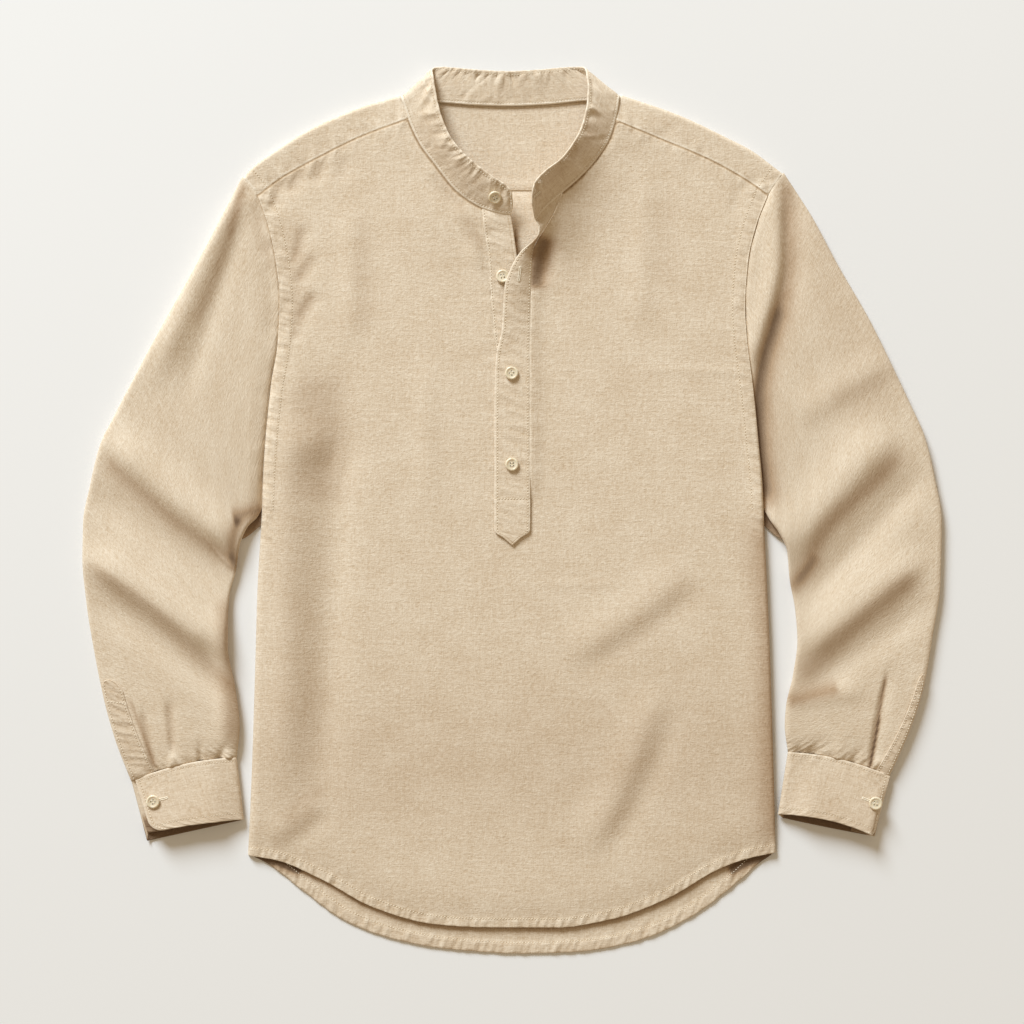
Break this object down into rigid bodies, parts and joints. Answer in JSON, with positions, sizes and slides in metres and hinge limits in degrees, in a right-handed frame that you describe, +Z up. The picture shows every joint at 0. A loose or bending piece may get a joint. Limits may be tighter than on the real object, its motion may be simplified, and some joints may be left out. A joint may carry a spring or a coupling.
{
  "type": "mandarin collar shirt",
  "caption": "Long-sleeved linen pullover shirt with a band collar and a buttoned half placket, laid flat face up with curved sleeves.",
  "frame": {"origin": "on the surface it lies on, under the middle of its overall box", "axes": "+Z up out of the surface, +Y towards the collar, +X towards the wearer's left sleeve"},
  "size_m": [0.7374, 0.7608, 0.034],
  "materials": {
    "linen": "sand linen, plain weave, washed and slightly brushed",
    "button": "cream horn-like resin, satin"
  },
  "bodies": {
    "root": {"back": "linen", "yoke": "linen", "front": "linen", "collar_band": "linen", "placket_under": "linen", "placket_over": "linen", "sleeve_left": "linen", "sleeve_right": "linen", "sleeve_placket_left": "linen", "sleeve_placket_right": "linen", "cuff_left": "linen", "cuff_right": "linen", "button_collar": "button", "button_front_2": "button", "button_front_3": "button", "button_front_4": "button", "button_cuff_left": "button", "button_cuff_right": "button"}
  },
  "joints": []
}
